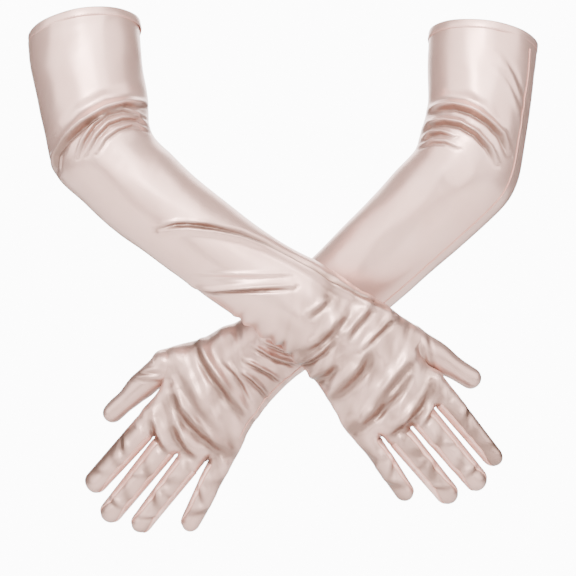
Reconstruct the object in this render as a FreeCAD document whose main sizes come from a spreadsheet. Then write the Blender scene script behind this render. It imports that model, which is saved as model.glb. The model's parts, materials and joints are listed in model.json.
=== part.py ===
"""Pair of over-elbow satin gloves, held by two arms that cross in front of the wearer.

Millimetres. +Z is up, the wearer faces -Y and the backs of both hands face -Y. The origin is the
centre of the left glove's arm opening. "left" and "right" are the wearer's own hands: the left
glove hangs from the origin and runs down towards -X, the right glove starts at -X and crosses in
front of it.
"""
import FreeCAD
import Part
import os
from math import cos, radians, sin, tan

V = FreeCAD.Vector
DEPTH = V(0, 1, 0)

doc = FreeCAD.newDocument("opera_gloves")
sheet = doc.addObject("Spreadsheet::Sheet", "Sizes")

SIZES = {
    # cloth, hem and the room left between neighbours
    "cloth": 0.8, "hem_inner": 95.0, "hem_wall": 1.7, "hem_height": 8.0,
    "seam_width": 1.6, "seam_height": 0.9, "panel_gap": 0.3, "joint_gap": 0.4,
    # sleeve and palm sections: in-plane width and front-to-back depth
    "cuff_width": 97.2, "cuff_depth": 97.2, "bicep_width": 93.0, "bicep_depth": 92.0,
    "crook_width": 92.0, "crook_depth": 90.0, "elbow_width": 98.0, "elbow_depth": 90.0,
    "below_width": 89.0, "below_depth": 85.0, "mid_width": 84.0, "mid_depth": 75.0,
    "low_width": 77.0, "low_depth": 62.0, "wrist_width": 80.0, "wrist_depth": 53.0,
    "heel_width": 86.0, "heel_depth": 45.0, "palm_width": 88.0, "palm_depth": 35.0,
    "knuckle_width": 89.0, "knuckle_depth": 25.0,
    # lengths along the arm
    "left_upper_length": 118.0, "right_upper_length": 108.0,
    "forearm_length": 235.0, "palm_length": 114.0,
    # angles of upper arm, forearm and hand from straight down, towards +X
    "left_upper_angle": -8.4, "left_forearm_angle": -48.5, "left_hand_angle": -39.9,
    "right_upper_angle": 10.3, "right_forearm_angle": 51.7, "right_hand_angle": 41.3,
    # the right arm opening, and the depth of each landmark, front negative
    "right_cuff_x": -351.0, "right_cuff_z": 6.0,
    "left_cuff_y": 0.0, "left_elbow_y": -28.0, "left_wrist_y": 8.0, "left_knuckle_y": 12.0,
    "right_cuff_y": -12.0, "right_elbow_y": -45.0, "right_wrist_y": -65.0,
    "right_knuckle_y": -69.0,
    # motion limits that the gaps leave room for, in degrees
    "elbow_extend": 39.0, "elbow_flex": 3.0, "wrist_extend": 20.0, "wrist_flex": 25.0,
    "finger_extend": 10.0, "finger_flex": 45.0, "spare_angle": 1.5,
    # digits: width, and depth as a share of it
    "index_width": 21.4, "middle_width": 22.0, "ring_width": 22.0, "little_width": 19.0,
    "thumb_width": 24.0, "digit_depth_share": 0.95, "fourchette_height": 6.0,
}
# Each digit's base in the hand's own frame: along the hand from the knuckle centre, across it
# towards the thumb, its spread towards the thumb in degrees, and its length.
DIGITS = {
    "left": {
        "index": (9.4, 36.2, 2.1, 74.0), "middle": (8.4, 11.5, -0.7, 87.0),
        "ring": (0.7, -14.0, -2.1, 85.0), "little": (-17.0, -33.5, -13.9, 75.0),
        "thumb": (-49.4, 58.7, 11.3, 75.0),
    },
    "right": {
        "index": (7.9, 37.4, -1.4, 75.0), "middle": (5.2, 12.4, -0.9, 83.0),
        "ring": (-0.3, -13.3, -1.4, 81.0), "little": (-12.8, -35.0, -7.0, 68.0),
        "thumb": (-53.9, 50.5, 17.5, 74.0),
    },
}
FINGERS = ("index", "middle", "ring", "little")
for hand, digits in DIGITS.items():
    for digit, values in digits.items():
        for what, value in zip(("along", "across", "spread", "length"), values):
            SIZES[f"{hand}_{digit}_{what}"] = value

for row, (alias, value) in enumerate(SIZES.items(), start=1):
    sheet.set(f"A{row}", alias)
    sheet.set(f"B{row}", str(value))
    sheet.setAlias(f"B{row}", alias)
doc.recompute()


def size(alias):
    """A driving dimension, read from the sheet."""
    return float(sheet.get(alias))


def down(alias):
    """The unit vector at that angle from straight down, towards +X."""
    angle = radians(size(alias))
    return V(sin(angle), 0, -cos(angle))


def unit(vector):
    return vector * (1 / vector.Length)


def turned(vector, degrees):
    """vector turned about the depth axis."""
    return FreeCAD.Rotation(DEPTH, degrees).multVec(vector)


class Arm:
    """One glove's landmarks: cuff, elbow, wrist and knuckle centres, and the directions between.

    outer points from the arm's middle to the elbow's outer side, which is the little finger's
    side of the hand. The thumb is on the other side.
    """

    def __init__(self, hand):
        self.hand = hand
        self.side = 1 if hand == "left" else -1
        self.upper = down(hand + "_upper_angle")
        self.fore = down(hand + "_forearm_angle")
        self.palm = down(hand + "_hand_angle")
        cuff = V(0, 0, 0) if hand == "left" else V(size("right_cuff_x"), 0, size("right_cuff_z"))
        self.cuff = self.at_depth(cuff, "cuff")
        self.elbow = self.at_depth(cuff + self.upper * size(hand + "_upper_length"), "elbow")
        self.wrist = self.at_depth(self.elbow + self.fore * size("forearm_length"), "wrist")
        self.knuckle = self.at_depth(self.wrist + self.palm * size("palm_length"), "knuckle")

    def at_depth(self, point, landmark):
        return V(point.x, size(f"{self.hand}_{landmark}_y"), point.z)

    def outer(self, along):
        """The direction across an in-plane direction, towards the elbow's outer side."""
        return V(-along.z, 0, along.x) * self.side

    def hand_point(self, along, across):
        """A point of the hand from the knuckle centre, across counted towards the thumb."""
        slope = (self.knuckle.y - self.wrist.y) / size("palm_length")
        point = self.knuckle + self.palm * along - self.outer(self.palm) * across
        return V(point.x, self.knuckle.y + slope * along, point.z)

    def digit(self, name):
        """Base centre, direction and length of a digit."""
        key = f"{self.hand}_{name}_"
        base = self.hand_point(size(key + "along"), size(key + "across"))
        spread = size(key + "spread")
        return base, turned(self.palm, spread * self.side), size(key + "length")


def ellipse(name, centre, tangent, across, width, depth):
    """A section normal to tangent, with its width along across. width and depth are expressions."""
    section = doc.addObject("Part::Ellipse", name)
    section.setExpression("MajorRadius", f"({width}) / 2")
    section.setExpression("MinorRadius", f"({depth}) / 2")
    turn = FreeCAD.Rotation(across, tangent.cross(across), tangent, "ZXY")
    section.Placement = FreeCAD.Placement(centre, turn)
    return section


def loft(name, sections):
    body = doc.addObject("Part::Loft", name)
    body.Sections = sections
    body.Solid = True
    body.Ruled = True
    return body


def prism(name, corners, sweep):
    """The solid that a flat polygon passes through when it moves along sweep."""
    outline = doc.addObject("Part::Polygon", name + "_outline")
    outline.Nodes = corners
    outline.Close = True
    body = doc.addObject("Part::Extrusion", name)
    body.Base = outline
    body.DirMode = "Custom"
    body.Dir = unit(sweep)
    body.LengthFwd = sweep.Length
    body.Solid = True
    return body


def cut(name, base, tool):
    body = doc.addObject("Part::Cut", name)
    body.Base = base
    body.Tool = tool
    return body


def common(name, *shapes):
    body = doc.addObject("Part::MultiCommon", name)
    body.Shapes = list(shapes)
    return body


def together(name, bodies):
    """Several solids that are one sub-part."""
    group = doc.addObject("Part::Compound", name)
    group.Links = bodies
    return group


def node(label, body):
    """Marks a finished sub-part, whose label names its file."""
    body.Label = label
    NODES.append(body)
    return body


NODES = []
REACH = 75.0  # further from an arm's middle than any cloth
HOLLOW_PAST = 2.0
TUBE_STEPS = (
    # part of the arm, share of its length, section name
    ("upper", 0.0, "cuff"), ("upper", 0.45, "bicep"), ("upper", 0.7, "crook"),
    ("fore", 0.0, "elbow"), ("fore", 0.15, "below"), ("fore", 0.45, "mid"),
    ("fore", 0.78, "low"), ("palm", 0.0, "wrist"), ("palm", 0.4, "heel"),
    ("palm", 0.75, "palm"), ("palm", 1.0, "knuckle"),
)


def arm_sections(arm):
    """(name, centre, tangent, outward direction) of each section from cuff to knuckles."""
    legs = {
        "upper": (arm.cuff, arm.elbow, arm.upper, None),
        "fore": (arm.elbow, arm.wrist, arm.fore, "upper"),
        "palm": (arm.wrist, arm.knuckle, arm.palm, "fore"),
    }
    found = []
    for leg, share, name in TUBE_STEPS:
        start, end, along, before = legs[leg]
        tangent = unit(end - start)
        if share == 0 and before:
            earlier_start, earlier_end, earlier_along, _ = legs[before]
            tangent = unit(tangent + unit(earlier_end - earlier_start))
            along = unit(along + earlier_along)
        across = arm.outer(along)
        across = unit(across - tangent * across.dot(tangent))
        centre = start + (end - start) * share
        if name == "cuff":  # the sleeve starts under the hem
            centre = start + tangent * (size("hem_height") + size("joint_gap"))
        found.append((name, centre, tangent, across))
    return found


def arm_tubes(arm):
    """The cloth's outer and inner surface as solids, {leg: (outside, inside)}, each leg from one
    bend of the arm to the next, and the seam's thread along the arm's outer side, {leg: thread}."""
    sections = arm_sections(arm)
    names = [section[0] for section in sections]
    bends = {"upper": ("cuff", "elbow"), "fore": ("elbow", "wrist"), "palm": ("wrist", "knuckle")}
    tubes, threads = {}, {}
    for leg, (first, last) in bends.items():
        outside, inside, thread = [], [], []
        for name, centre, tangent, across in sections[names.index(first):names.index(last) + 1]:
            label = f"{arm.hand}_{leg}_{name}"
            width, depth = f"Sizes.{name}_width", f"Sizes.{name}_depth"
            outside.append(ellipse(label + "_outside", centre, tangent, across, width, depth))
            # the hollow runs out through both ends
            hollow = centre + tangent * {first: -HOLLOW_PAST, last: HOLLOW_PAST}.get(name, 0)
            inside.append(ellipse(label + "_inside", hollow, tangent, across,
                                  width + " - 2 * Sizes.cloth", depth + " - 2 * Sizes.cloth"))
            edge = size(name + "_width") / 2 + size("panel_gap") + size("seam_height") / 2
            thread.append(ellipse(label + "_thread", centre + across * edge, tangent,
                                  tangent.cross(across), "Sizes.seam_width", "Sizes.seam_height"))
        name = f"{arm.hand}_{leg}_"
        tubes[leg] = (loft(name + "outside", outside), loft(name + "inside", inside))
        threads[leg] = loft(name + "thread", thread)
    return tubes, threads


def panel(name, tubes, *spaces):
    """The cloth of an arm within some spaces: the outer solid there, less the hollow."""
    outside, inside = tubes
    return cut(name, common(name + "_block", outside, *spaces), inside)


def on_plane(point, start, end):
    """point moved in depth onto the plane through start and end that runs straight across."""
    along = V(end.x - start.x, 0, end.z - start.z)
    share = (point - start).dot(along) / along.dot(along)
    return V(point.x, start.y + (end.y - start.y) * share, point.z)


def half(name, arm, leg_start, leg_end, sign):
    """The space in front (-1) or behind (+1) of a leg's middle surface, for the whole leg."""
    along = unit(V(leg_end.x - leg_start.x, 0, leg_end.z - leg_start.z))
    outer = arm.outer(along) * REACH
    corners = [leg_start - along * REACH - outer, leg_end + along * REACH - outer,
               leg_end + along * REACH + outer, leg_start - along * REACH + outer]
    offset = DEPTH * (sign * size("panel_gap") / 2)
    corners = [on_plane(corner, leg_start, leg_end) + offset for corner in corners]
    return prism(name, corners, DEPTH * (sign * REACH))


def full_depth(name, arm, corners):
    """The column of space over an in-plane outline, through the whole pair."""
    deep = 2 * REACH
    flat = [V(corner.x, arm.elbow.y - deep, corner.z) for corner in corners]
    return prism(name, flat, DEPTH * (2 * deep))


def elbow_rays(arm):
    """In-plane directions from the elbow pivot to the edges of the gaps that let it turn."""
    bisector = unit(arm.upper - arm.fore)
    gap_outer = size("elbow_extend") / 2 + size("spare_angle")
    gap_inner = size("elbow_flex") / 2 + size("spare_angle")
    towards_fore = arm.side
    return {
        "outer_upper": turned(bisector, -gap_outer * towards_fore),
        "outer_fore": turned(bisector, gap_outer * towards_fore),
        "inner_upper": turned(bisector * -1, gap_inner * towards_fore),
        "inner_fore": turned(bisector * -1, -gap_inner * towards_fore),
    }


def sleeve_panels(arm, tubes, threads):
    """Hem ring, upper sleeve, elbow web, forearm and their seams, split at the elbow pivot."""
    hand = arm.hand
    upper_axis = unit(arm.elbow - arm.cuff)
    hem_turn = FreeCAD.Rotation(V(0, 0, 1), upper_axis)
    rims = []
    for name, radius in (("outer", "Sizes.hem_inner / 2 + Sizes.hem_wall"),
                         ("bore", "Sizes.hem_inner / 2")):
        rim = doc.addObject("Part::Cylinder", f"{hand}_hem_{name}")
        rim.setExpression("Radius", radius)
        rim.setExpression("Height", "Sizes.hem_height")
        rim.Placement = FreeCAD.Placement(arm.cuff, hem_turn)
        rims.append(rim)
    node(hand + "_hem", cut(hand + "_hem", *rims))

    rays = elbow_rays(arm)
    far = 1.6 * REACH
    gap = size("joint_gap")
    outer = arm.outer(arm.upper) * REACH
    top = arm.cuff - arm.upper * REACH
    pivot = arm.elbow - arm.upper * gap
    upper_space = full_depth(hand + "_upper_space", arm, [
        top - outer, pivot + rays["inner_upper"] * far, pivot,
        pivot + rays["outer_upper"] * far, top + outer])
    outer = arm.outer(arm.fore) * REACH
    pivot = arm.elbow + arm.fore * gap
    bottom = arm.wrist - arm.fore * gap
    fore_space = full_depth(hand + "_fore_space", arm, [
        bottom - outer, pivot + rays["inner_fore"] * far, pivot,
        pivot + rays["outer_fore"] * far, bottom + outer])
    # the web fills the outer gap, kept off both sleeves and off the pivot
    near = 6 * size("spare_angle")
    pivot = arm.elbow
    slack = size("spare_angle") * arm.side
    ray_upper, ray_fore = turned(rays["outer_upper"], slack), turned(rays["outer_fore"], -slack)
    web_space = full_depth(hand + "_elbow_space", arm, [
        pivot + ray_upper * near, pivot + ray_upper * far,
        pivot + ray_fore * far, pivot + ray_fore * near])
    web = [panel(f"{hand}_{leg}_elbow_web", tubes[leg], web_space) for leg in ("upper", "fore")]
    node(hand + "_elbow_web", together(hand + "_elbow_web", web))

    legs = (("upper_sleeve", "upper", upper_space, arm.cuff, arm.elbow),
            ("forearm", "fore", fore_space, arm.elbow, arm.wrist))
    for leg, tube, space, start, end in legs:
        for face, sign in (("front", -1), ("back", 1)):
            name = f"{hand}_{leg}_{face}"
            middle = half(name + "_half", arm, start, end, sign)
            node(name, panel(name, tubes[tube], space, middle))
        node(f"{hand}_{leg}_seam", common(f"{hand}_{leg}_seam", threads[tube], space))


def side_view(origin, along, hinge, corners, half_width, name):
    """A prism along a hinge line. Corners are (distance along, depth behind) from the hinge."""
    start = origin - hinge * half_width
    return prism(name, [start + along * a + DEPTH * d for a, d in corners],
                 hinge * (2 * half_width))


def hand_panels(arm, tubes, threads):
    """Back and palm panels from the wrist pivot to the finger bases, with the wrist's web."""
    hand = arm.hand
    edge = {}
    for first, second in zip(FINGERS, FINGERS[1:]):
        # each finger starts further back than the one before, so its own edge sets the step
        step = size(f"{hand}_{second}_across") + size(second + "_width") / 2
        edge[first, "far"] = edge[second, "near"] = step + 2 * size("joint_gap")
    edge["index", "near"], edge["little", "far"] = REACH, -REACH
    gap = size("joint_gap")
    outline = [arm.hand_point(-size("palm_length") - REACH / 2, REACH)]
    for finger in FINGERS:
        key = f"{hand}_{finger}_"
        slope = tan(radians(size(key + "spread")))
        for end in ("near", "far"):
            across = edge[finger, end]
            along = size(key + "along") - gap - (across - size(key + "across")) * slope
            outline.append(arm.hand_point(along, across))
    outline.append(arm.hand_point(-size("palm_length") - REACH / 2, -REACH))
    palm_space = full_depth(hand + "_palm_space", arm, outline)

    hinge = arm.outer(arm.fore)
    spare = size("spare_angle")
    webs = []
    for face, sign, limit in (("back", -1, "wrist_extend"), ("palm", 1, "wrist_flex")):
        lean = tan(radians(size(limit) + spare))
        split = sign * size("panel_gap") / 2
        deep = sign * REACH
        reach = 2 * REACH
        beyond = side_view(arm.wrist, arm.fore, hinge,
                           [(gap, split), (gap + lean * REACH, deep), (reach, deep), (reach, split)],
                           REACH, f"{hand}_{face}_beyond_wrist")
        name = f"{hand}_hand_{face}"
        node(name, panel(name, tubes["palm"], palm_space, beyond))
        # the web's wedge starts where it is as thick as the cloth
        start = 4 * size("cloth") / lean
        wedge = side_view(arm.wrist, arm.fore, hinge,
                          [(0, sign * start), (0, deep), (lean * REACH - gap, deep),
                           (lean * start - gap, sign * start)], REACH, f"{hand}_{face}_wrist_wedge")
        webs.append(panel(f"{hand}_{face}_wrist_web", tubes["palm"], wedge))
    node(hand + "_wrist_web", together(hand + "_wrist_web", webs))
    straight = side_view(arm.wrist, arm.fore, hinge,
                         [(gap, -REACH), (gap, REACH), (2 * REACH, REACH), (2 * REACH, -REACH)],
                         REACH, hand + "_seam_beyond_wrist")
    short = cut(hand + "_seam_to_knuckle", threads["palm"],
                full_depth(hand + "_little_space", arm, [
                    arm.hand_point(size(f"{hand}_little_along") - gap, -20),
                    arm.hand_point(size(f"{hand}_little_along") - gap, -REACH),
                    arm.hand_point(REACH, -REACH), arm.hand_point(REACH, -20)]))
    node(hand + "_hand_seam", common(hand + "_hand_seam", short, straight))


DIGIT_STEPS = ((0.0, 0, 1.0), (0.5, 0, 0.97), (0.8, 0, 0.92), (1.0, -8.0, 0.82),
               (1.0, -4.5, 0.68), (1.0, -1.6, 0.45), (1.0, 0.0, 0.2))


def digit_shell(arm, digit):
    """A closed-ended tube. Each step is a share of the length, millimetres past it, and a scale."""
    base, along, length = arm.digit(digit)
    across = arm.outer(along)
    rings = {"outside": [], "inside": []}
    for number, (share, past, scale) in enumerate(DIGIT_STEPS):
        for skin, cloth in (("outside", 0), ("inside", 1)):
            place = length * share + past - cloth * size("cloth") * (share == 1.0)
            width = f"Sizes.{digit}_width * {scale} - {2 * cloth} * Sizes.cloth"
            depth = f"Sizes.{digit}_width * Sizes.digit_depth_share * {scale}"
            depth = f"{depth} - {2 * cloth} * Sizes.cloth"
            rings[skin].append(ellipse(f"{arm.hand}_{digit}_{skin}_{number}",
                                       base + along * place, along, across, width, depth))
    name = f"{arm.hand}_{digit}_"
    return cut(name + "shell", loft(name + "outside", rings["outside"]),
               loft(name + "inside", rings["inside"]))


def finger_pieces(arm, finger, gusset_sides):
    """Back strip, palm strip and the fourchettes let in between them on the given sides."""
    base, along, length = arm.digit(finger)
    hinge = arm.outer(along)
    shell = digit_shell(arm, finger)
    gap, split = size("joint_gap"), size("panel_gap") / 2
    width = size(finger + "_width")
    end = length + width
    name = f"{arm.hand}_{finger}"
    half_height = size("fourchette_height") / 2
    lean = {"back": tan(radians(size("finger_extend") + size("spare_angle"))),
            "palm": tan(radians(size("finger_flex") + size("spare_angle")))}
    first, last = min(gusset_sides), max(gusset_sides)
    start = base + hinge * (width * (first if first < 0 else 0))
    run = hinge * (width * (last - first if first < 0 < last else 1))

    def gusset_space(label, top, from_base):
        corners = [(from_base, -top), (end, -top), (end, top), (from_base, top)]
        return prism(label, [start + along * a + DEPTH * d for a, d in corners], run)

    slot = gusset_space(name + "_slot", half_height, -width)
    for face, sign in (("back", -1), ("palm", 1)):
        deep = sign * width
        region = side_view(base, along, hinge,
                           [(gap, sign * split), (gap + lean[face] * width, deep),
                            (end, deep), (end, sign * split)], width, f"{name}_{face}_space")
        strip = common(f"{name}_{face}_half", shell, region)
        node(f"{name}_{face}", cut(f"{name}_{face}", strip, slot))
    inset = half_height - size("panel_gap")
    space = gusset_space(name + "_gusset_space", inset, gap + lean["palm"] * half_height)
    node(name + "_fourchettes", common(name + "_fourchettes", shell, space))


def thumb_pieces(arm):
    """Back and palm halves of the set-in thumb, cut off along the hand's edge."""
    hand = arm.hand
    base, along, length = arm.digit("thumb")
    shell = digit_shell(arm, "thumb")
    edge = size("palm_width") / 2 + 5 * size("joint_gap")
    proximal = size(hand + "_thumb_along") - REACH / 2
    space = full_depth(hand + "_thumb_space", arm, [
        arm.hand_point(proximal, edge), arm.hand_point(REACH, edge),
        arm.hand_point(REACH, 2 * REACH), arm.hand_point(proximal, 2 * REACH)])
    for face, sign in (("back", -1), ("palm", 1)):
        name = f"{hand}_thumb_{face}"
        node(name, common(name, shell, space, half(name + "_half", arm, base,
                                                   base + along * length, sign)))


for glove in (Arm("left"), Arm("right")):
    cloth_tubes, seam_threads = arm_tubes(glove)
    sleeve_panels(glove, cloth_tubes, seam_threads)
    hand_panels(glove, cloth_tubes, seam_threads)
    thumb_pieces(glove)
    finger_pieces(glove, "index", (1,))
    finger_pieces(glove, "middle", (-1, 1))
    finger_pieces(glove, "ring", (-1, 1))
    finger_pieces(glove, "little", (-1,))

doc.recompute()
for item in doc.Objects:
    if "Invalid" in item.State or "Error" in item.State:
        raise RuntimeError(f"{item.Label} did not build: {item.State}")
os.makedirs("parts", exist_ok=True)
for body in NODES:
    if body.Shape.isNull() or not body.Shape.isValid() or not body.Shape.Solids:
        raise RuntimeError(f"{body.Label} is not a good solid")
for body in NODES:
    body.Shape.exportStep(f"parts/{body.Label}.step")
print(len(NODES), "nodes")
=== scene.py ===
import json

import bpy
import numpy as np
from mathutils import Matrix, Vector


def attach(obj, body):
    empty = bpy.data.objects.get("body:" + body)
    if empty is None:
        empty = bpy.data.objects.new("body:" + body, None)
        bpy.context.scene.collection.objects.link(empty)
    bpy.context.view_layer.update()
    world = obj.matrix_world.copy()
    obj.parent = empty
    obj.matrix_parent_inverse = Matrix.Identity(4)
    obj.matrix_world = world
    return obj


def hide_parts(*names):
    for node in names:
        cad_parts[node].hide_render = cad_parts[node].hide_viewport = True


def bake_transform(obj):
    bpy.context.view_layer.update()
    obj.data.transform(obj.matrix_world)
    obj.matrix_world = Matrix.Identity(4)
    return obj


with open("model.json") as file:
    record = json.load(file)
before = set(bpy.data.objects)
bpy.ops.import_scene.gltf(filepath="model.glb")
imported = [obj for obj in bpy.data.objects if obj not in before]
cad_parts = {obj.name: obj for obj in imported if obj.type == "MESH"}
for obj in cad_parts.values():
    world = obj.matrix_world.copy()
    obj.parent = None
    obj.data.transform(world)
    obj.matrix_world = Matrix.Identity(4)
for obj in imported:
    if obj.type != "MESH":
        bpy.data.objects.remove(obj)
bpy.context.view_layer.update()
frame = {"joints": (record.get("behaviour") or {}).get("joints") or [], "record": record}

# --- Form of each glove ---------------------------------------------------------------
# Both gloves are soft satin tubes that end in a hand. A tube is drawn by its outline from
# the front: pairs of points on the outer and the inner edge, from the cuff to the palm,
# in millimetres like every size here, with the hand's pairs measured along and across it.

MM = 0.001

# cuff, elbow, wrist and knuckles are the middles of the tube there. A row of the hand is its
# place along the hand, then its edges toward the thumb and away. A digit is its length and
# half width, and crotches say how far past the knuckles each finger comes free.
FORMS = {
    "left": {
        "cuff": (0, 0, 0),
        "elbow": (-17, -28, -117),
        "wrist": (-193, 8, -272),
        "knuckles": (-266, 12, -360),
        "sleeve": (
            ((50, 18), (-47, 25)),
            ((48, -3), (-48, 3)),
            ((46, -24), (-49, -19)),
            ((43, -44), (-49, -42)),
            ((38, -77), (-50, -59)),
            ((33, -104), (-53, -73)),
            ((28, -127), (-57, -86)),
            ((20, -144), (-60, -97)),
            ((4, -161), (-67, -106)),
            ((-14, -177), (-75, -114)),
            ((-33, -194), (-92, -133)),
            ((-60, -218), (-118, -160)),
            ((-89, -243), (-144, -186)),
            ((-117, -267), (-170, -211)),
        ),
        "hand": (
            (-104, 36, -37),
            (-85, 41, -35),
            (-62, 45, -36),
            (-40, 47, -39),
            (-20, 48, -42),
            (0, 48, -44),
            (16, 46, -44),
        ),
        "palm_end": (2, 7, 6, -9, -20),
        "digits": {
            "index": (74, 10.9),
            "middle": (87, 11.3),
            "ring": (85, 11.2),
            "little": (75, 10.0),
        },
        "crotches": {"index": 11, "middle": 11, "ring": 10, "little": -6},
        "thumb": ((-92, 28, 3), (-46, 58, 5), (17, 66.5, 9)),
        "thumb_sizes": (14.0, 12.6, 9.2),
    },
    "right": {
        "cuff": (-351, -12, 6),
        "elbow": (-332, -45, -100),
        "wrist": (-147, -65, -246),
        "knuckles": (-72, -69, -332),
        "sleeve": (
            ((-402, 17), (-305, 35)),
            ((-400, -4), (-303, 14)),
            ((-398, -25), (-301, -7)),
            ((-392, -48), (-299, -30)),
            ((-387, -70), (-294, -52)),
            ((-382, -90), (-293, -68)),
            ((-377, -112), (-292, -79)),
            ((-371, -125), (-289, -87)),
            ((-351, -144), (-283, -95)),
            ((-334, -160), (-274, -103)),
            ((-317, -174), (-265, -112)),
            ((-299, -187), (-250, -126)),
            ((-282, -199), (-234, -139)),
            ((-243, -227), (-196, -168)),
            ((-215, -246), (-169, -186)),
            ((-194, -262), (-145, -198)),
        ),
        "hand": (
            (-114, 43, -40),
            (-100, 45, -39),
            (-84, 47, -37),
            (-66, 48, -38),
            (-45, 47.5, -41),
            (-25, 46, -43.5),
            (0, 45, -45),
            (16, 44, -44),
        ),
        "palm_end": (0, 6, 6, -6, -17),
        "digits": {
            "index": (75, 10.9),
            "middle": (83, 11.3),
            "ring": (81, 11.2),
            "little": (68, 10.0),
        },
        "crotches": {"index": 9, "middle": 8, "ring": 8, "little": -4},
        "thumb": ((-92, 33, 4), (-48, 48, 10), (11, 65.5, 14)),
        "thumb_sizes": (14.0, 13.4, 9.4),
    },
}
HALF_DEPTHS = (48.6, 46.5, 45, 42.5, 37.5, 31, 26.5, 22.5, 17.5, 12.5, 12)
PAST_ELBOW, BEFORE_WRIST, PAST_WRIST, IN_HAND, PAST_KNUCKLES = 35, 45, 25, 70, 16
PALM_END_PLACES = (45, 24, -1, -24, -45)
STATION_STEP = 0.5
OUTLINE_SMOOTHING, MIDDLE_SMOOTHING, DEPTH_SMOOTHING = 25, 81, 61
TUBE_CORE = 0.2
PALM_ROUNDING = 9.0
FINGER_ROOT = 16.0
FINGER_WIDEST, FINGER_TAPER = 1.04, 0.22
FINGER_FLATNESS = 0.93
FINGER_CURL = 7.0
FINGER_TIP = 0.8
MOUND_BLEND, CROTCH_BLEND, FINGER_BLEND = 12.0, 1.2, 5.0
THUMB_WAIST, THUMB_WAVES, THUMB_PROUD = 0.9, 2.4, 0.35


def spline(knots, values, at):
    """Cubic Hermite through the values, each knot's slope taken from its two neighbours."""
    knots = np.asarray(knots, float)
    values = np.asarray(values, float)
    slopes = np.gradient(values, knots, axis=0)
    i = np.clip(np.searchsorted(knots, at) - 1, 0, len(knots) - 2)
    gap = knots[i + 1] - knots[i]
    t = (at - knots[i]) / gap
    if values.ndim > 1:
        t, gap = t[:, None], gap[:, None]
    rise = values[i + 1] - values[i]
    start, end = slopes[i] * gap - rise, rise - slopes[i + 1] * gap
    return values[i] + t * rise + t * (1 - t) * ((1 - t) * start + t * end)


def running_mean(values, count):
    """Each value becomes the mean of the count values round it, the ends held."""
    padded = np.pad(values, [(count // 2, count // 2)] + [(0, 0)] * (values.ndim - 1), "edge")
    total = np.cumsum(np.insert(padded, 0, 0, axis=0), axis=0)
    return (total[count:] - total[:-count]) / count


def soft_min(a, b, reach):
    """The smaller of two distances, rounded where they are within reach of each other."""
    overlap = np.maximum(reach - np.abs(a - b), 0)
    return np.minimum(a, b) - overlap * overlap / (4 * reach)


def smooth_step(low, high, value):
    """0 below low, 1 above high and 3t^2 - 2t^3 between them."""
    t = np.clip((value - low) / (high - low), 0, 1)
    return t * t * (3 - 2 * t)


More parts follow.
